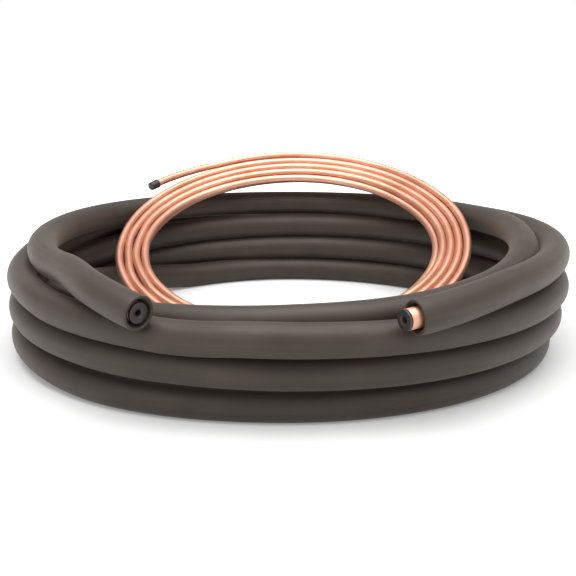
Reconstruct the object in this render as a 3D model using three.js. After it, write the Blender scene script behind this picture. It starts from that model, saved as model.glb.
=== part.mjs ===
// Mini split line set: the two soft copper lines that join the indoor and outdoor halves of a split
// air conditioner. The suction line wears a black foam sleeve and lies in a flat coil. The bare liquid
// line is a smaller coil that stands inside it: its foot is on the floor and it leans on the back wall.
// Millimetres, +Z up. The front is -Y, where both ends of the suction line lie on top of the coil.
import * as THREE from "three";

// Driving dimensions
const SUCTION_OD = 19.05; // 3/4 in copper tube
const SUCTION_WALL = 0.89;
const FOAM_OD = 31.75; // the sleeve over the suction tube
const LIQUID_OD = 9.53; // 3/8 in copper tube
const LIQUID_WALL = 0.81;
const COIL_RADIUS = 294; // suction coil's axis to the centre line of a plain turn
const LIQUID_RADIUS = 188; // liquid coil's axis to the centre line of its smallest turn
const LIQUID_FOOT = -85; // how far back the liquid coil's foot stands from the suction coil's axis
const LIQUID_ROLL = -2.4; // degrees, its left side a little lower than its right
const TUBE_STICKS_OUT = 8.5; // copper past the foam at the right end
const TUBE_SET_BACK = 4; // foam past the copper at the left end
const PLUG_FLANGE = 3; // thickness of a plug's flange
const PLUG_SHANK = 14; // length of a plug inside the tube
const PLUG_RECESS = { radius: 3.2, depth: 9 };
const CAP_WALL = 1.1;
const CAP_LENGTH = 13;
const FIT = 0.3; // clearance between pieces that touch
const TURN_GAP = 0.3; // between one sleeved turn and the next
const STRAND_GAP = 0.45; // between one bare turn and the next
const LIQUID_LEAN = { least: 10, first: 20, most: 40 }; // degrees back from level, to search between

// Facets
const SLEEVE_SIDES = 12;
const BORE_SIDES = 8;
const TUBE_SIDES = 8;
const TUBE_BORE_SIDES = 6;
const ROUND_SIDES = 24; // plugs and caps
const ROUTE_STEP = 2; // degrees between the points of a route while it settles
const SECTION_EVERY = 6; // route points from one section of a tube to the next
const NEIGHBOUR_FROM = 60; // degrees along a route from which another stretch is a neighbouring turn
const PUSH_REACH = 20; // degrees each way over which a push on a route is spread
const SUCTION_ROUNDS = 60; // of settling
const LIQUID_ROUNDS = 40;
const LEAN_ROUNDS = 14;
const BISECT_STEPS = 12;

const TURN = 360;
const radians = THREE.MathUtils.degToRad;
const flatRadius = (radius, sides) => radius * Math.cos(Math.PI / sides);

// The suction line's turns, by hand: degrees round the coil from the front, anticlockwise seen from above,
// then how far out of the plain radius and how far above the floor turn, both in turn pitches.
const SUCTION_TURNS = [
  { at: 20, out: 1.06, up: 2.8 }, // right end, on top of the front turns
  { at: 45, out: 0.45, up: 3.05 },
  { at: 90, out: 0.4, up: 3.1 },
  { at: 180, out: 1.35, up: 2.65 }, // outside the back wall
  { at: 270, out: 0.2, up: 2.34 },
  { at: 360, out: 0.3, up: 2.18 },
  { at: 450, out: 0.4, up: 2.02 },
  { at: 540, out: 0.02, up: 2 },
  { at: 630, out: 0.17, up: 1.34 },
  { at: 720, out: -0.04, up: 1.12 },
  { at: 810, out: 0.27, up: 0.98 },
  { at: 900, out: -0.1, up: 1 },
  { at: 990, out: 0.17, up: 0.35 },
  { at: 1040, out: -0.15, up: 0 },
  { at: 1080, out: -0.5, up: 0 }, // floor turn
  { at: 1170, out: -0.03, up: 0 },
  { at: 1260, out: -0.2, up: 0 },
  { at: 1290, out: -0.5, up: 0.12 },
  { at: 1350, out: -0.9, up: 1.25 }, // climbs inside the other turns
  { at: 1395, out: -0.78, up: 2.0 },
  { at: 1440, out: -0.62, up: 2.38 },
  { at: 1465, out: -0.62, up: 2.5 },
  { at: 1485, out: -0.62, up: 2.7 },
  { at: 1530, out: -0.55, up: 3.24 },
  { at: 1566, out: -0.02, up: 3.12 },
  { at: 1620, out: 0.43, up: 2.98 },
  { at: 1680, out: -0.25, up: 3.16 },
  { at: 1710, out: -0.5, up: 3.15 },
  { at: 1734, out: -0.6, up: 3.14 }, // nearly straight from here
  { at: 1752, out: -0.45, up: 3.12 },
  { at: 1766, out: 0.3, up: 3.02 },
  { at: 1778, out: 1.05, up: 2.8 }, // left end
];

// How far out of the smallest turn, and above it, the liquid line's widest turn lies, in strand pitches,
// by degrees round its axis from the foot, anticlockwise.
const LIQUID_OPENING = [
  { at: 0, out: 3.6, up: -0.2 }, // foot
  { at: 60, out: 3.9, up: 0.3 },
  { at: 95, out: 3.5, up: 1 }, // right
  { at: 125, out: 2.9, up: 1.4 },
  { at: 180, out: 4.5, up: 1.6 }, // back
  { at: 240, out: 4.2, up: 1.2 },
  { at: 300, out: 3.3, up: 0.2 }, // front left
  { at: 360, out: 3.6, up: -0.2 },
];

// The liquid line's turns, by turns round its axis: the share of that opening, and the row above or
// below it in strand pitches. Two turns lie under the others. The line then comes up round the inside
// and opens like a funnel to the free tail.
const LIQUID_START = 310; // degrees
const LIQUID_TURNS = [
  { at: 0, share: 0.4, row: -1.95 },
  { at: 0.7, share: 0.4, row: -1.8 },
  { at: 1.7, share: 0.2, row: -0.95 },
  { at: 2.2, share: -0.08, row: -0.75 },
  { at: 2.7, share: 0, row: 0 },
  { at: 6.7, share: 1, row: 0 },
  { at: 6.79, share: 1.2, row: 0.3 }, // free tail
];

// Smooth value of one field of a list of stations at a place between them.
function between(stations, at, field) {
  const last = stations.length - 1;
  let i = 0;
  while (i < last - 1 && stations[i + 1].at <= at) i++;
  const a = stations[i];
  const b = stations[i + 1];
  const slope = (j) => {
    const before = stations[Math.max(j - 1, 0)];
    const after = stations[Math.min(j + 1, last)];
    return (after[field] - before[field]) / (after.at - before.at);
  };
  const span = b.at - a.at;
  const t = (at - a.at) / span;
  const bend = THREE.MathUtils.lerp(slope(i) * span - b[field] + a[field],
    b[field] - a[field] - slope(i + 1) * span, t);
  return THREE.MathUtils.lerp(a[field], b[field], t) + t * (1 - t) * bend;
}

// Pushes stretches of a route apart until no two turns are nearer than the pitch. Nothing goes under
// the lowest height. The pushes are spread along the route, so that it stays smooth.
function settle(points, pitch, lowest, rounds) {
  const apart = Math.round(NEIGHBOUR_FROM / ROUTE_STEP);
  const reach = Math.round(PUSH_REACH / ROUTE_STEP);
  for (let round = 0; round < rounds; round++) {
    const push = points.map(() => new THREE.Vector3());
    for (let i = 0; i < points.length; i++) {
      let nearest = pitch;
      let other = null;
      for (let j = 0; j < points.length; j++) {
        if (Math.abs(i - j) < apart) continue;
        const d = points[i].distanceTo(points[j]);
        if (d < nearest) [nearest, other] = [d, points[j]];
      }
      if (other) push[i].subVectors(points[i], other).setLength((pitch - nearest) / 2);
    }
    points.forEach((p, i) => {
      const spread = new THREE.Vector3();
      for (let j = i - reach; j <= i + reach; j++)
        spread.add(push[THREE.MathUtils.clamp(j, 0, push.length - 1)]);
      p.addScaledVector(spread, 1 / (reach + 1));
      p.z = Math.max(p.z, lowest);
    });
  }
  return points;
}

// Suction line's centre line
const turnPitch = FOAM_OD + TURN_GAP;
const floorTurn = flatRadius(FOAM_OD / 2, SLEEVE_SIDES); // the sleeve rests on a flat
function suctionRoute() {
  const points = [];
  const end = SUCTION_TURNS.at(-1).at;
  for (let at = SUCTION_TURNS[0].at; at <= end; at += ROUTE_STEP) {
    const radius = COIL_RADIUS + turnPitch * between(SUCTION_TURNS, at, "out");
    const height = floorTurn + turnPitch * between(SUCTION_TURNS, at, "up");
    const a = radians(at);
    points.push(new THREE.Vector3(radius * Math.sin(a), -radius * Math.cos(a), height));
  }
  return settle(points, turnPitch, floorTurn, SUCTION_ROUNDS);
}

// Liquid line's centre line, about its own axis
const strandPitch = LIQUID_OD + STRAND_GAP;
function liquidRoute() {
  const points = [];
  const turns = LIQUID_TURNS.at(-1).at;
  for (let at = 0; at <= turns; at += ROUTE_STEP / TURN) {
    const round = (LIQUID_START + TURN * at) % TURN;
    const share = between(LIQUID_TURNS, at, "share");
    const out = share * between(LIQUID_OPENING, round, "out");
    const up = share * between(LIQUID_OPENING, round, "up") + between(LIQUID_TURNS, at, "row");
    const radius = LIQUID_RADIUS + strandPitch * out;
    const a = radians(round);
    points.push(new THREE.Vector3(radius * Math.sin(a), -radius * Math.cos(a), strandPitch * up));
  }
  return settle(points, strandPitch, -Infinity, LIQUID_ROUNDS);
}

const capRadius = LIQUID_OD / 2 + FIT + CAP_WALL;

// The liquid coil tilted back over its foot, with its axis this far to the right of the suction coil's.
function leaned(route, tilt, right) {
  const roll = radians(LIQUID_ROLL);
  const turn = new THREE.Matrix4().makeRotationFromEuler(new THREE.Euler(tilt, roll, 0, "YXZ"));
  const points = route.map((p) => p.clone().applyMatrix4(turn));
  const lowest = points.reduce((a, b) => (a.z < b.z ? a : b));
  const shift = new THREE.Vector3(right, LIQUID_FOOT - lowest.y, LIQUID_OD / 2 - lowest.z);
  return points.map((p) => p.add(shift));
}

// The least clearance between one side of the liquid coil, its end caps too, and the suction coil.
function clearance(points, wall, side) {
  let least = Infinity;
  points.forEach((p, i) => {
    if (p.x * side < 0) return;
    const nearEnd = Math.min(p.distanceTo(points[0]), p.distanceTo(points.at(-1))) < CAP_LENGTH;
    const radius = nearEnd ? capRadius : LIQUID_OD / 2;
    for (const q of wall) least = Math.min(least, p.distanceTo(q) - radius);
  });
  return least - FOAM_OD / 2 - FIT;
}

// The highest value between two that isn't too high.
function bisect(low, high, tooHigh) {
  for (let i = 0; i < BISECT_STEPS; i++) {
    const middle = (low + high) / 2;
    if (tooHigh(middle)) high = middle;
    else low = middle;
  }
  return low;
}
// Slides it right and leans it back, by turns, until it touches the suction coil on both sides. Each
// turn goes half of the way that it asks for, because each undoes a little of the other.
function leanOn(route, wall) {
  const room = (tilt, right, side) => clearance(leaned(route, tilt, right), wall, side);
  let tilt = radians(LIQUID_LEAN.first);
  let right = 0;
  for (let round = 0; round < LEAN_ROUNDS; round++) {
    const slid = bisect(-FOAM_OD, FOAM_OD, (x) => room(tilt, x, 1) < 0);
    const least = radians(LIQUID_LEAN.least);
    const tilted = bisect(least, radians(LIQUID_LEAN.most), (angle) => room(angle, right, -1) > 0);
    right = (right + slid) / 2;
    tilt = (tilt + tilted) / 2;
  }
  return leaned(route, tilt, right);
}

// A route for ExtrudeGeometry: sections stand on the given points, upright, and square to the route.
class Route extends THREE.Curve {
  constructor(points) {
    super();
    this.points = points;
  }
  getPoint(t) {
    const at = t * (this.points.length - 1);
    const i = Math.min(Math.floor(at), this.points.length - 2);
    return this.points[i].clone().lerp(this.points[i + 1], at - i);
  }
  getSpacedPoints() {
    return this.points;
  }
  tangentAt(i) {
    const after = this.points[Math.min(i + 1, this.points.length - 1)];
    const before = this.points[Math.max(i - 1, 0)];
    return after.clone().sub(before).normalize();
  }
  computeFrenetFrames() {
    const tangents = this.points.map((_, i) => this.tangentAt(i));
    const normals = tangents.map((t) => new THREE.Vector3(0, 0, 1).cross(t).normalize());
    const binormals = tangents.map((t, i) => t.clone().cross(normals[i]));
    return { tangents, normals, binormals };
  }
}

// Every SECTION_EVERY-th point, both ends included; the short last step joins the one before it.
function sections(points) {
  const kept = points.filter((_, i) => i % SECTION_EVERY === 0);
  if (kept.at(-1) !== points.at(-1)) kept[kept.length - 1] = points.at(-1);
  return kept;
}

// Points along the straight stretches between sections, where the facets really are.
function alongChords(points) {
  const dense = [points[0]];
  for (let i = 1; i < points.length; i++)
    for (let k = 1; k <= SECTION_EVERY; k++)
      dense.push(points[i - 1].clone().lerp(points[i], k / SECTION_EVERY));
  return dense;
}

// The same points with one end made longer (or shorter) along its own direction.
function endsMoved(points, start, end) {
  const moved = points.map((p) => p.clone());
  const first = moved[0].clone().sub(moved[1]).setLength(start);
  const last = moved.at(-1).clone().sub(moved.at(-2)).setLength(end);
  moved[0].add(start < 0 ? first.negate() : first);
  moved.at(-1).add(end < 0 ? last.negate() : last);
  return moved;
}

// A regular polygon with a side flat down; its corners lie on the radius.
function polygon(radius, sides) {
  const corners = [];
  for (let i = 0; i < sides; i++) {
    const a = ((i + 0.5) / sides) * 2 * Math.PI - Math.PI / 2;
    corners.push(new THREE.Vector2(radius * Math.cos(a), radius * Math.sin(a)));
  }
  return corners;
}

// A hollow tube along the points.
function tube(points, outer, inner, sides, boreSides) {
  const shape = new THREE.Shape(polygon(outer, sides));
  shape.holes.push(new THREE.Path(polygon(inner, boreSides)));
  return new THREE.ExtrudeGeometry(shape, {
    steps: points.length - 1,
    extrudePath: new Route(points),
    curveSegments: 1,
  });
}

// A turned piece, its axis along +Z.
function turned(profile) {
  const points = profile.map(([r, z]) => new THREE.Vector2(r, z));
  return new THREE.LatheGeometry(points, ROUND_SIDES).rotateX(Math.PI / 2);
}

// Stands a turned piece on a point, its +Z along the direction from one point to the next.
function standOn(mesh, from, to) {
  const along = to.clone().sub(from).normalize();
  mesh.quaternion.setFromUnitVectors(new THREE.Vector3(0, 0, 1), along);
  mesh.position.copy(to);
  return mesh;
}

const foam = new THREE.MeshStandardMaterial({ color: 0x3b352f, roughness: 0.85, metalness: 0 });
const copper = new THREE.MeshStandardMaterial({ color: 0xc98a66, roughness: 0.3, metalness: 1 });
const plastic = new THREE.MeshStandardMaterial({ color: 0x2a2826, roughness: 0.6, metalness: 0 });

const set = new THREE.Group();
function piece(name, geometry, material) {
  const mesh = new THREE.Mesh(geometry, material);
  mesh.name = name;
  set.add(mesh);
  return mesh;
}

// Suction line
const suctionPoints = suctionRoute();
const sleevePoints = sections(suctionPoints);
const sleeveBore = SUCTION_OD / 2 + FIT;
const boreRadius = sleeveBore / Math.cos(Math.PI / BORE_SIDES); // the bore's flats clear the tube
piece("suction_insulation",
  tube(sleevePoints, FOAM_OD / 2, boreRadius, SLEEVE_SIDES, BORE_SIDES), foam);
const suctionBore = SUCTION_OD / 2 - SUCTION_WALL;
const tubePoints = endsMoved(sleevePoints, TUBE_STICKS_OUT, -TUBE_SET_BACK);
piece("suction_tube",
  tube(tubePoints, SUCTION_OD / 2, suctionBore, TUBE_SIDES, TUBE_BORE_SIDES), copper);

// A plug: a flange over the tube's end, a shank inside it, and a recess in its face.
const shankRadius = flatRadius(suctionBore, TUBE_BORE_SIDES) - FIT;
function plug() {
  const flangeRadius = SUCTION_OD / 2;
  return turned([
    [0, FIT - PLUG_SHANK],
    [shankRadius, FIT - PLUG_SHANK],
    [shankRadius, FIT],
    [flangeRadius, FIT],
    [flangeRadius, FIT + PLUG_FLANGE],
    [PLUG_RECESS.radius, FIT + PLUG_FLANGE],
    [PLUG_RECESS.radius, FIT + PLUG_FLANGE - PLUG_RECESS.depth],
    [0, FIT + PLUG_FLANGE - PLUG_RECESS.depth],
  ]);
}
standOn(piece("suction_plug_right", plug(), plastic), tubePoints[1], tubePoints[0]);
standOn(piece("suction_plug_left", plug(), plastic), tubePoints.at(-2), tubePoints.at(-1));

// Liquid line
const liquidTurns = alongChords(sections(liquidRoute()));
const liquidPoints = sections(leanOn(liquidTurns, alongChords(sleevePoints)));
const liquidBore = LIQUID_OD / 2 - LIQUID_WALL;
piece("liquid_tube",
  tube(liquidPoints, LIQUID_OD / 2, liquidBore, TUBE_SIDES, TUBE_BORE_SIDES), copper);

// A cap pushed over each end of the liquid line.
function cap() {
  const inside = LIQUID_OD / 2 + FIT;
  const top = FIT + CAP_WALL;
  return turned([
    [0, FIT],
    [inside, FIT],
    [inside, top - CAP_LENGTH],
    [capRadius, top - CAP_LENGTH],
    [capRadius, top - CAP_WALL / 2],
    [capRadius - CAP_WALL / 2, top],
    [0, top],
  ]);
}
standOn(piece("liquid_cap_hidden", cap(), plastic), liquidPoints[1], liquidPoints[0]);
standOn(piece("liquid_cap_tail", cap(), plastic), liquidPoints.at(-2), liquidPoints.at(-1));

// The origin is on the floor, under the middle of the whole set.
const middle = new THREE.Box3().setFromObject(set, true).getCenter(new THREE.Vector3());
set.position.set(-middle.x, -middle.y, 0);

export default set;
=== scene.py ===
"""Mini split line set: a foam-sleeved suction line in a flat coil, and the bare copper liquid line
coiled inside it, leaning on its back wall. Lengths are in millimetres until a mesh is made."""
import math

import bpy
import numpy as np
from mathutils import Matrix, Vector


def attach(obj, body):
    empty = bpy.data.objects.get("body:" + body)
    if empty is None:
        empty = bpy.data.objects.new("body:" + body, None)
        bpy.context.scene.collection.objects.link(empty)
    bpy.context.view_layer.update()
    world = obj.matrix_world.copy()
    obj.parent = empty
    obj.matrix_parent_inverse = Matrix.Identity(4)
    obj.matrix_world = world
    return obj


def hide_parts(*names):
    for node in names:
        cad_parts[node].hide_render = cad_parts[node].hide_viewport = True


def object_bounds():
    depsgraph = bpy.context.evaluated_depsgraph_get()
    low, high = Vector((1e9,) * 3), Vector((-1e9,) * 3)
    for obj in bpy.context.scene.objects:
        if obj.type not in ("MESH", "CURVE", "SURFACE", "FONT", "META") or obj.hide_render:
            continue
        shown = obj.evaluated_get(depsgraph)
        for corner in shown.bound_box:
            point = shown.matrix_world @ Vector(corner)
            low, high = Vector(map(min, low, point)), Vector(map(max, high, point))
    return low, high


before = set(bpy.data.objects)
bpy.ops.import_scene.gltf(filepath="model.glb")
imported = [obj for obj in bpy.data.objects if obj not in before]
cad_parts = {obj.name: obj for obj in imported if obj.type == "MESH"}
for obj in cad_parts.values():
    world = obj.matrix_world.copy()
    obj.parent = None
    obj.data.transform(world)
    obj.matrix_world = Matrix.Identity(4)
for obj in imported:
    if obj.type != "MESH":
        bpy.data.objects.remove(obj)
cad_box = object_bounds()
scene = bpy.context.scene
MM = 0.001
BOX_MARGIN = 0.00005  # how far the looks stay inside the solid model's box, in metres

# ---------------------------------------------------------------- sizes, as in the solid model
SUCTION_OD = 19.05
SUCTION_WALL = 0.89
FOAM_OD = 31.75
LIQUID_OD = 9.53
COIL_RADIUS = 294
LIQUID_RADIUS = 188
LIQUID_START = 310
TUBE_STICKS_OUT = 8.5
TUBE_SET_BACK = 4
PLUG_FLANGE = 3
PLUG_SHANK = 14
PLUG_RECESS = 3.2
PLUG_RECESS_DEPTH = 9
CAP_WALL = 1.1
CAP_LENGTH = 13
FIT = 0.3
TURN_GAP = 0.3
STRAND_GAP = 0.45
SLEEVE_FACETS = 12  # sides of the solid model's sleeve
SECTION_ANGLE = 12  # degrees from one section of the solid model's tubes to the next
TURN = 360
ROUTE_STEP = 2  # degrees between the points of a route
NEIGHBOUR_FROM = 60  # degrees along a route from which another stretch is a neighbouring turn
PUSH_REACH = 20  # degrees each way over which a push on a route is spread
SUCTION_ROUNDS = 60  # of settling
LIQUID_ROUNDS = 40
FLOOR_TURN = FOAM_OD / 2 * math.cos(math.pi / SLEEVE_FACETS)
TURN_PITCH = FOAM_OD + TURN_GAP
STRAND_PITCH = LIQUID_OD + STRAND_GAP
# where the solid model stands the liquid coil and the whole set
LIQUID_TILT = 18.6077
LIQUID_ROLL = -2.4
LIQUID_PLACE = (8.1784, 100.8141, 92.8349)
SET_PLACE = (-4.4657, -14.5742, 0.0)
# a solid turn's straight stretches lie this much inside the round turn, on average
CHORD = (1 + math.cos(math.radians(SECTION_ANGLE / 2))) / 2
# a route's end point, and one a little way in from it
FIRST_END = (0, 2)
LAST_END = (-1, -3)

# degrees round the coil from the front, anticlockwise seen from above, then how far out of the
# plain radius and up from the floor turn, in turn pitches
SUCTION_TURNS = [
    (20, 1.06, 2.8), (45, 0.45, 3.05), (90, 0.4, 3.1), (180, 1.35, 2.65), (270, 0.2, 2.34),
    (360, 0.3, 2.18), (450, 0.4, 2.02), (540, 0.02, 2), (630, 0.17, 1.34), (720, -0.04, 1.12),
    (810, 0.27, 0.98), (900, -0.1, 1), (990, 0.17, 0.35), (1040, -0.15, 0), (1080, -0.5, 0),
    (1170, -0.03, 0), (1260, -0.2, 0), (1290, -0.5, 0.12), (1350, -0.9, 1.25), (1395, -0.78, 2.0),
    (1440, -0.62, 2.38), (1465, -0.62, 2.5), (1485, -0.62, 2.7), (1530, -0.55, 3.24),
    (1566, -0.02, 3.12), (1620, 0.43, 2.98), (1680, -0.25, 3.16), (1710, -0.5, 3.15),
    (1734, -0.6, 3.14), (1752, -0.45, 3.12), (1766, 0.3, 3.02), (1778, 1.05, 2.8),
]
# degrees round the liquid coil, then how far its widest turn lies out and up, in strand pitches
LIQUID_OPENING = [
    (0, 3.6, -0.2), (60, 3.9, 0.3), (95, 3.5, 1), (125, 2.9, 1.4), (180, 4.5, 1.6),
    (240, 4.2, 1.2), (300, 3.3, 0.2), (360, 3.6, -0.2),
]
# turns round the liquid coil, then the share of that opening and the row, in strand pitches
LIQUID_TURNS = [
    (0, 0.4, -1.95), (0.7, 0.4, -1.8), (1.7, 0.2, -0.95), (2.2, -0.08, -0.75), (2.7, 0, 0),
    (6.7, 1, 0), (6.79, 1.2, 0.3),
]

# ---------------------------------------------------------------- camera
CAMERA_AT = (4.3, -1064.3, 320.4)  # from the middle of the suction coil's floor turn
CAMERA_DOWN = 13.95  # degrees
camera = bpy.data.objects.new("camera", bpy.data.cameras.new("camera"))
scene.collection.objects.link(camera)
camera.data.sensor_width = 36
camera.data.lens = 57.725
camera.data.clip_end = 50
camera.location = Vector([a + b for a, b in zip(CAMERA_AT, SET_PLACE)]) * MM
camera.rotation_euler = (math.radians(90 - CAMERA_DOWN), 0, 0)
scene.camera = camera


# ---------------------------------------------------------------- routes
def between(stations, at, field):
    """Smooth value of one field of a list of stations at a place between them."""
    last = len(stations) - 1
    i = 0
    while i < last - 1 and stations[i + 1][0] <= at:
        i += 1

    def slope(j):
        before, after = stations[max(j - 1, 0)], stations[min(j + 1, last)]
        return (after[field] - before[field]) / (after[0] - before[0])

    a, b = stations[i], stations[i + 1]
    span = b[0] - a[0]
    t = (at - a[0]) / span
    rise = b[field] - a[field]
    bend = (slope(i) * span - rise) * (1 - t) + (rise - slope(i + 1) * span) * t
    return a[field] + rise * t + t * (1 - t) * bend


def settle(points, pitch, lowest, rounds):
    """Pushes stretches of a route apart until no two turns are nearer than the pitch."""
    n = len(points)
    apart = round(NEIGHBOUR_FROM / ROUTE_STEP)
    reach = round(PUSH_REACH / ROUTE_STEP)
    index = np.arange(n)
    same = np.abs(index[:, None] - index[None, :]) < apart
    for _ in range(rounds):
        distance = np.linalg.norm(points[:, None] - points[None, :], axis=2)
        distance[same] = np.inf
        other = distance.argmin(axis=1)
        nearest = distance[index, other]
        away = points - points[other]
        away /= np.linalg.norm(away, axis=1)[:, None]
        push = away * (np.clip(pitch - nearest, 0, None) / 2)[:, None]
        before, after = np.repeat(push[:1], reach, 0), np.repeat(push[-1:], reach, 0)
        padded = np.concatenate([before, push, after])
        total = np.concatenate([np.zeros((1, 3)), padded.cumsum(0)])
        points = points + (total[2 * reach + 1:] - total[:n]) / (reach + 1)
        points[:, 2] = np.maximum(points[:, 2], lowest)
    return points


def suction_route():
    """The suction line's centre line, from its right end to its left end."""
    points = []
    for at in range(SUCTION_TURNS[0][0], SUCTION_TURNS[-1][0] + 1, ROUTE_STEP):
        radius = COIL_RADIUS + TURN_PITCH * between(SUCTION_TURNS, at, 1)
        height = FLOOR_TURN + TURN_PITCH * between(SUCTION_TURNS, at, 2)
        a = math.radians(at)
        points.append((radius * math.sin(a), -radius * math.cos(a), height))
    points = settle(np.array(points), TURN_PITCH, FLOOR_TURN, SUCTION_ROUNDS)
    points[:, :2] *= CHORD
    return points + SET_PLACE


def liquid_route():
    """The liquid line's centre line, from its hidden end to its free tail."""
    points = []
    at = 0.0
    while at <= LIQUID_TURNS[-1][0]:
        around = (LIQUID_START + TURN * at) % TURN
        share = between(LIQUID_TURNS, at, 1)
        out = share * between(LIQUID_OPENING, around, 1)
        up = share * between(LIQUID_OPENING, around, 2) + between(LIQUID_TURNS, at, 2)
        radius = LIQUID_RADIUS + STRAND_PITCH * out
        a = math.radians(around)
        points.append((radius * math.sin(a), -radius * math.cos(a), STRAND_PITCH * up))
        at += ROUTE_STEP / TURN
    points = settle(np.array(points), STRAND_PITCH, -np.inf, LIQUID_ROUNDS)
    points[:, :2] *= CHORD
    lean = (Matrix.Rotation(math.radians(LIQUID_ROLL), 3, "Y")
            @ Matrix.Rotation(math.radians(LIQUID_TILT), 3, "X"))
    return points @ np.array(lean).T + LIQUID_PLACE + SET_PLACE


def end_moved(points, by_start, by_end):
    """The same route with its ends made longer or shorter along their own directions."""
    points = points.copy()
    for (end, inner), by in ((FIRST_END, by_start), (LAST_END, by_end)):
        way = points[end] - points[inner]
        points[end] += way / np.linalg.norm(way) * by
    return points


def frames_along(points):
    """Tangents, and for each point a level side direction and its upright partner."""
    ahead = np.concatenate([points[1:], points[-1:]])
    behind = np.concatenate([points[:1], points[:-1]])
    tangent = ahead - behind
    tangent /= np.linalg.norm(tangent, axis=1)[:, None]
    side = np.cross((0, 0, 1.0), tangent)
    side /= np.linalg.norm(side, axis=1)[:, None]
    return tangent, side, np.cross(tangent, side)


def noise_along(count, scale, seed):
    """Smooth wander between -1 and 1, its bumps this many points long."""
    rng = np.random.default_rng(seed)
    knots = rng.uniform(-1, 1, count // scale + 4)
    x = np.arange(count) / scale + 1
    i = x.astype(int)
    t = x - i
    t = t * t * (3 - 2 * t)
    return knots[i] * (1 - t) + knots[i + 1] * t


# ---------------------------------------------------------------- meshes
def add_mesh(name, vertices, faces, mat, node):
    """A smooth piece that stands in for one node of the solid model, kept inside its box."""
    mesh = bpy.data.meshes.new(name)
    low, high = np.array(cad_box) + [[BOX_MARGIN], [-BOX_MARGIN]]
    inside = np.clip(np.asarray(vertices) * MM, low, high)
    mesh.from_pydata(inside.tolist(), [], faces)
    mesh.validate()
    mesh.shade_smooth()
    mesh.materials.append(mat)
    obj = bpy.data.objects.new(name, mesh)
    scene.collection.objects.link(obj)
    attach(obj, "root")
    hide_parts(node)
    return obj


def rings_to_mesh(rings):
    """Closed rings of points, each joined to the next, as vertices and quads."""
    count, sides = len(rings), len(rings[0])
    faces = []
    for i in range(count - 1):
        for k in range(sides):
            m = (k + 1) % sides
            low, high = i * sides, (i + 1) * sides
            faces.append((low + k, low + m, high + m, high + k))
    return np.concatenate(rings), faces


def lathe(profile, sides):
    """A turned piece about +Z. Its profile of (radius, height) starts and ends on the axis."""
    vertices, faces = [], []
    rows = []
    for r, z in profile:
        if r < 1e-6:
            rows.append([len(vertices)])
            vertices.append((0, 0, z))
        else:
            rows.append(list(range(len(vertices), len(vertices) + sides)))
            for k in range(sides):
                a = 2 * math.pi * k / sides
                vertices.append((r * math.cos(a), r * math.sin(a), z))
    for low, high in zip(rows, rows[1:]):
        for k in range(sides):
            m = (k + 1) % sides
            if len(low) == 1:
                faces.append((low[0], high[m], high[k]))
            elif len(high) == 1:
                faces.append((low[k], low[m], high[0]))
            else:
                faces.append((low[k], low[m], high[m], high[k]))
    return np.array(vertices), faces


def stand_on(vertices, start, end):
    """Turns a piece's +Z to the direction from start to end and puts it on end."""
    way = Vector(end - start)
    turn = np.array(Vector((0, 0, 1)).rotation_difference(way).to_matrix())
    return vertices @ turn.T + end


def rounded(profile, radius, steps=4):
    """Rounds each corner of a profile by up to the radius, and by less where a side is short."""
    most = 0.45  # of a side
    out = [profile[0]]
    for a, b, c in zip(profile, profile[1:], profile[2:]):
        a, b, c = np.array(a, float), np.array(b, float), np.array(c, float)
        first, second = a - b, c - b
        cut = min(radius, most * np.linalg.norm(first), most * np.linalg.norm(second))
        p = b + first / np.linalg.norm(first) * cut
        q = b + second / np.linalg.norm(second) * cut
        for i in range(steps + 1):
            t = i / steps
            out.append(tuple((1 - t) ** 2 * p + 2 * t * (1 - t) * b + t * t * q))
    out.append(profile[-1])
    return out


# ---------------------------------------------------------------- materials
def material(name):
    mat = bpy.data.materials.new(name)
    mat.use_nodes = True
    nodes, links = mat.node_tree.nodes, mat.node_tree.links
    return mat, nodes, links, nodes["Principled BSDF"]


def set_inputs(node, values):
    for key, value in values.items():
        node.inputs[key].default_value = value


def noise(nodes, links, vector, scale, detail=3.0, rough=0.55):
    n = nodes.new("ShaderNodeTexNoise")
    set_inputs(n, {"Scale": scale, "Detail": detail, "Roughness": rough})
    links.new(vector, n.inputs["Vector"])
    return n.outputs["Fac"]


def ramp(nodes, links, value, stops):
    """Colours at their places between 0 and 1."""
    r = nodes.new("ShaderNodeValToRGB")
    elements = r.color_ramp.elements
    while len(elements) < len(stops):
        elements.new(0.5)
    for e, (at, colour) in zip(elements, stops):
        e.position = at
        e.color = (*colour, 1)
    links.new(value, r.inputs["Fac"])
    return r.outputs["Color"]


def mapped(nodes, links, value, low, high, start=0, end=1):
    """A value between start and end made into one between low and high."""
    m = nodes.new("ShaderNodeMapRange")
    set_inputs(m, {"From Min": start, "From Max": end, "To Min": low, "To Max": high})
    links.new(value, m.inputs["Value"])
    return m.outputs["Result"]


def bump(nodes, links, bsdf, *layers):
    """Layers of (height, strength, distance), each on top of the one before."""
    previous = None
    for height, strength, distance in layers:
        b = nodes.new("ShaderNodeBump")
        set_inputs(b, {"Strength": strength, "Distance": distance})
        links.new(height, b.inputs["Height"])
        if previous:
            links.new(previous, b.inputs["Normal"])
        previous = b.outputs["Normal"]
    links.new(previous, bsdf.inputs["Normal"])


TUBE_UV = "tube"


def along_coordinate(nodes, links, stretch):
    """Coordinates along and round a tube, from its UV map, stretched along it."""
    uv = nodes.new("ShaderNodeUVMap")
    uv.uv_map = TUBE_UV
    m = nodes.new("ShaderNodeMapping")
    set_inputs(m, {"Scale": stretch})
    links.new(uv.outputs["UV"], m.inputs["Vector"])
    return m.outputs["Vector"]


def object_coordinate(nodes):
    return nodes.new("ShaderNodeTexCoord").outputs["Object"]


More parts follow.
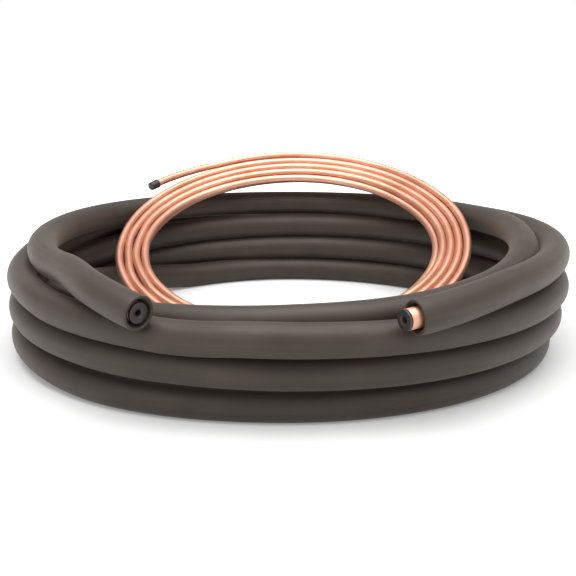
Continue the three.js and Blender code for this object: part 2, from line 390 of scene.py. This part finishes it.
def make_foam():
    """Matt black closed-cell foam: a mottled skin, drawn a little along the tube."""
    mat, nodes, links, bsdf = material("foam_skin")
    where = object_coordinate(nodes)
    length = along_coordinate(nodes, links, (6, 160, 1))
    mottle = noise(nodes, links, where, 26, 4)
    streak = noise(nodes, links, length, 1.0, 4)
    cells = noise(nodes, links, where, 900, 3)
    mix = nodes.new("ShaderNodeMix")
    set_inputs(mix, {"Factor": 0.5})
    links.new(mottle, mix.inputs["A"])
    links.new(streak, mix.inputs["B"])
    tone = mix.outputs["Result"]
    colour = ramp(nodes, links, tone, [
        (0.3, (0.018, 0.0128, 0.0094)), (0.55, (0.026, 0.0190, 0.0142)),
        (0.75, (0.035, 0.0262, 0.0200)),
    ])
    links.new(colour, bsdf.inputs["Base Color"])
    links.new(mapped(nodes, links, tone, 0.66, 0.46), bsdf.inputs["Roughness"])
    set_inputs(bsdf, {
        "Specular IOR Level": 0.45, "Specular Tint": (1, 0.93, 0.87, 1),
        "Sheen Weight": 0.12, "Sheen Roughness": 0.45, "Sheen Tint": (0.95, 0.8, 0.68, 1),
    })
    bump(nodes, links, bsdf, (mottle, 0.35, 0.0012), (streak, 0.2, 0.0006), (cells, 0.3, 0.0002))
    return mat


def make_copper(name, dull):
    """Drawn copper: fine lines along the tube, and softly clouded."""
    mat, nodes, links, bsdf = material(name)
    where = object_coordinate(nodes)
    length = along_coordinate(nodes, links, (3, 900, 1))
    drawn = noise(nodes, links, length, 1.0, 5, 0.6)
    cloud = noise(nodes, links, where, 18, 3)
    colour = ramp(nodes, links, cloud, [
        (0.3, (0.62, 0.31, 0.20)), (0.55, (0.72, 0.385, 0.27)), (0.75, (0.79, 0.45, 0.33)),
    ])
    links.new(colour, bsdf.inputs["Base Color"])
    set_inputs(bsdf, {"Metallic": 1})
    links.new(mapped(nodes, links, drawn, 0.4 + dull, 0.54 + dull), bsdf.inputs["Roughness"])
    bump(nodes, links, bsdf, (drawn, 0.12, 0.0002), (cloud, 0.1, 0.0008))
    return mat


def make_plastic():
    """Moulded black plastic with a fine grain."""
    mat, nodes, links, bsdf = material("plug_plastic")
    where = object_coordinate(nodes)
    cloud = noise(nodes, links, where, 120, 3)
    grain = noise(nodes, links, where, 2500, 2)
    stops = [(0.3, (0.013, 0.0105, 0.0095)), (0.7, (0.024, 0.020, 0.018))]
    colour = ramp(nodes, links, cloud, stops)
    links.new(colour, bsdf.inputs["Base Color"])
    links.new(mapped(nodes, links, cloud, 0.38, 0.5), bsdf.inputs["Roughness"])
    bump(nodes, links, bsdf, (grain, 0.15, 0.0001))
    return mat


def make_floor():
    """White. It is a little greyer near the middle, where the light is strongest, and glows with
    painted
    light: a little everywhere, which lightens the shadow under the set, and more towards its rim,
    so that it meets the horizon without an edge. Distances are in metres."""
    mat, nodes, links, bsdf = material("studio_floor")
    where = object_coordinate(nodes)
    reach = nodes.new("ShaderNodeVectorMath")
    reach.operation = "LENGTH"
    links.new(where, reach.inputs[0])
    distance = reach.outputs["Value"]
    outward = mapped(nodes, links, distance, 0, 1, 0.6, 2.0)
    colour = ramp(nodes, links, outward, [(0, (0.6, 0.6, 0.6)), (1, (0.92, 0.92, 0.92))])
    links.new(colour, bsdf.inputs["Base Color"])
    # painted light: the floor glows a little everywhere, lightening the shadow under the set, and
    # more towards its rim
    painted_glow = mapped(nodes, links, distance, 0.18, 1.0, 0.35, 1.6)
    links.new(painted_glow, bsdf.inputs["Emission Strength"])
    set_inputs(bsdf, {
        "Emission Color": (1, 1, 1, 1), "Roughness": 0.95, "Specular IOR Level": 0.1,
    })
    return mat


foam = make_foam()
copper = make_copper("liquid_copper", 0.0)
copper_end = make_copper("suction_copper", 0.05)
plastic = make_plastic()


# ---------------------------------------------------------------- swept pieces
def sweep(name, points, radii, sides, mat, node, end_profiles, squash=None):
    """A round tube along the points. end_profiles are, for each end, rings of (back, radius) that
    shape it, from the outside in. squash moves the points of every ring."""
    tangent, side, upright = frames_along(points)
    angles = 2 * np.pi * np.arange(sides) / sides
    circle = np.stack([np.cos(angles), np.sin(angles)], 1)
    length = np.concatenate([[0], np.linalg.norm(np.diff(points, axis=0), axis=1).cumsum()])
    rings, along = [], []

    def ring(i, back, radius, shape):
        at = points[i] + tangent[i] * back
        spoke = circle[:, :1] * side[i] + circle[:, 1:] * upright[i]
        return at + spoke * (radius * shape)[:, None]

    plain = np.ones(sides)
    for back, radius in reversed(end_profiles[0]):
        rings.append(ring(0, back, radius, plain))
        along.append(back)
    for i in range(1, len(points) - 1):
        rings.append(ring(i, 0, radii[i].mean(), radii[i] / radii[i].mean()))
        along.append(length[i])
    for back, radius in end_profiles[1]:
        rings.append(ring(-1, -back, radius, plain))
        along.append(length[-1] - back)
    if squash:
        rings = [squash(r) for r in rings]
    vertices, faces = rings_to_mesh(rings)
    obj = add_mesh(name, vertices, faces, mat, node)
    layer = obj.data.uv_layers.new(name=TUBE_UV)
    loops = np.zeros(len(obj.data.loops), int)
    obj.data.loops.foreach_get("vertex_index", loops)
    ring_at, k = loops // sides, loops % sides
    around = k / sides
    for first in range(0, len(loops), 4):  # a face across the seam runs on to 1
        face = around[first:first + 4]
        if face.max() > 0.9:
            face[face < 0.1] += 1
    uv = np.stack([np.array(along)[ring_at] * MM, around * 2 * math.pi * radii.mean() * MM], 1)
    layer.data.foreach_set("uv", uv.astype(np.float32).ravel())


suction = suction_route()
liquid = liquid_route()

# foam sleeve: slightly uneven, pressed flat on the floor, cut square with soft edges
SLEEVE_SIDES = 40
LUMPS_ROUND = 8
SWELL = 0.12  # how far the sleeve swells along its length
LUMP = 0.1  # how far single places on it stand out
BACK_STRETCH = 0.045  # the turns are this much taller at the back, so that they close on each other
FLOOR_CLEARANCE = 0.02
n = len(suction)
swell = noise_along(n, 9, 1)[:, None]
lumps = np.stack([noise_along(n, 14, 10 + k) for k in range(LUMPS_ROUND)], 1)
wander = SWELL * swell + LUMP * lumps.repeat(SLEEVE_SIDES // LUMPS_ROUND, 1)
kernel = np.array([1, 2, 3, 2, 1]) / 9
wander = sum(w * np.roll(wander, s, axis=1) for w, s in zip(kernel, range(-2, 3)))
sleeve_radii = TURN_PITCH / 2 + wander
route_at = np.radians(SUCTION_TURNS[0][0] + ROUTE_STEP * np.arange(n))
tall = np.sin(2 * np.pi * np.arange(SLEEVE_SIDES) / SLEEVE_SIDES) ** 2
sleeve_radii *= 1 + BACK_STRETCH * np.clip(-np.cos(route_at), 0, 1)[:, None] ** 0.5 * tall
sleeve_bore = SUCTION_OD / 2 + 0.35
# the soft outer edge, the cut face, and a mouth that flares away from the tube
sleeve_end = [(1.6, 15.95), (0.7, 15.8), (0.2, 15.4), (0, 14.9), (0, 13.7), (0.4, 13.3),
              (1.4, 13.1), (7, 12.5), (15, 10.6), (24, sleeve_bore)]


def on_floor(ring):
    ring = ring.copy()
    ring[:, 2] = np.maximum(ring[:, 2], FLOOR_CLEARANCE)
    return ring


sweep("foam_sleeve", suction, sleeve_radii, SLEEVE_SIDES, foam, "suction_insulation",
      (sleeve_end, sleeve_end), on_floor)

# copper suction tube inside it, with its ends reamed round
TUBE_SIDES = 32
tube_points = end_moved(suction, TUBE_STICKS_OUT, -TUBE_SET_BACK)
inside = SUCTION_OD / 2 - SUCTION_WALL
outside = SUCTION_OD / 2
tube_end = [(0.35, outside), (0.1, outside - 0.1), (0, outside - 0.3), (0, inside + 0.25),
            (0.1, inside + 0.08), (0.3, inside), (16, inside)]
sweep("suction_copper", tube_points, np.full((n, TUBE_SIDES), outside), TUBE_SIDES, copper_end,
      "suction_tube", (tube_end, tube_end))

# bare copper liquid line
STRAND_SIDES = 20
STRAND_SWELL = 0.03
m = len(liquid)
strand_swell = STRAND_SWELL * noise_along(m, 12, 3)[:, None]
liquid_radii = np.full((m, STRAND_SIDES), STRAND_PITCH / 2 - STRAND_SWELL) + strand_swell
bare_end = [(0.2, LIQUID_OD / 2), (0, LIQUID_OD / 2 - 0.3), (0, 1.0)]
sweep("liquid_copper", liquid, liquid_radii, STRAND_SIDES, copper, "liquid_tube",
      (bare_end, bare_end), on_floor)

# ---------------------------------------------------------------- plugs and caps
PLUG_SIDES = 56
CAP_SIDES = 40


def end_piece(name, node, profile, sides, route, which_end):
    """A turned piece on one end of a route."""
    end, inner = which_end
    vertices, faces = lathe(profile, sides)
    placed = stand_on(vertices, route[inner], route[end])
    add_mesh(name, placed, faces, plastic, node)


# a shank inside the tube, a flange over its end, and a recess with a sunk rim
PLUG = rounded([
    (0, FIT - PLUG_SHANK), (inside - 0.5, FIT - PLUG_SHANK), (inside - 0.3, FIT),
    (outside, FIT), (outside, FIT + PLUG_FLANGE), (PLUG_RECESS + 1.6, FIT + PLUG_FLANGE),
    (PLUG_RECESS + 1.2, FIT + PLUG_FLANGE - 0.5), (PLUG_RECESS, FIT + PLUG_FLANGE - 0.5),
    (PLUG_RECESS * 0.9, FIT + PLUG_FLANGE - PLUG_RECESS_DEPTH),
    (0, FIT + PLUG_FLANGE - PLUG_RECESS_DEPTH),
], 0.45)
end_piece("plug_right", "suction_plug_right", PLUG, PLUG_SIDES, tube_points, FIRST_END)
end_piece("plug_left", "suction_plug_left", PLUG, PLUG_SIDES, tube_points, LAST_END)

# a cap with a bead round its open end
cap_in = LIQUID_OD / 2 + FIT
cap_out = cap_in + CAP_WALL
cap_top = FIT + CAP_WALL
CAP = rounded([
    (0, FIT), (cap_in, FIT), (cap_in, cap_top - CAP_LENGTH), (cap_out, cap_top - CAP_LENGTH),
    (cap_out, cap_top - CAP_LENGTH + 2), (cap_out - 0.35, cap_top - CAP_LENGTH + 2.4),
    (cap_out - 0.35, cap_top), (0, cap_top),
], 0.4)
end_piece("cap_hidden", "liquid_cap_hidden", CAP, CAP_SIDES, liquid, FIRST_END)
end_piece("cap_tail", "liquid_cap_tail", CAP, CAP_SIDES, liquid, LAST_END)

# ---------------------------------------------------------------- floor, light
FLOOR_RADIUS = 2.4  # metres
FLOOR_SIDES = 96
rim = [(FLOOR_RADIUS * math.cos(a), FLOOR_RADIUS * math.sin(a), 0)
       for a in np.linspace(0, 2 * math.pi, FLOOR_SIDES, endpoint=False)]
floor_mesh = bpy.data.meshes.new("floor")
floor_mesh.from_pydata(rim, [], [tuple(range(FLOOR_SIDES))])
floor_mesh.materials.append(make_floor())
floor = bpy.data.objects.new("floor", floor_mesh)
scene.collection.objects.link(floor)


def area_light(name, at, aim, size, power):
    """A soft light. Places and sizes are in metres, power in watts."""
    light = bpy.data.lights.new(name, "AREA")
    light.shape = "RECTANGLE"
    light.size, light.size_y = size
    light.energy = power
    obj = bpy.data.objects.new(name, light)
    obj.location = at
    obj.rotation_euler = (Vector(aim) - Vector(at)).to_track_quat("-Z", "Y").to_euler()
    scene.collection.objects.link(obj)


area_light("top", (0, -0.35, 2.2), (0, 0, 0), (2.6, 2.4), 105)
area_light("front_left", (-1.5, -1.9, 1.2), (0, 0, 0.05), (1.4, 1.0), 12)
area_light("front_right", (1.7, -1.6, 1.1), (0, 0, 0.05), (1.2, 1.0), 8)
# the studio: white round the horizon and below it, dimmer overhead
world = bpy.data.worlds.new("studio")
world.use_nodes = True
nodes, links = world.node_tree.nodes, world.node_tree.links
split = nodes.new("ShaderNodeSeparateXYZ")
links.new(nodes.new("ShaderNodeTexCoord").outputs["Generated"], split.inputs["Vector"])
strength = mapped(nodes, links, split.outputs["Z"], 1.0, 0.35, 0.12, 0.45)
links.new(strength, nodes["Background"].inputs["Strength"])
set_inputs(nodes["Background"], {"Color": (1, 1, 1, 1)})
scene.world = world
scene.view_settings.view_transform = "Standard"
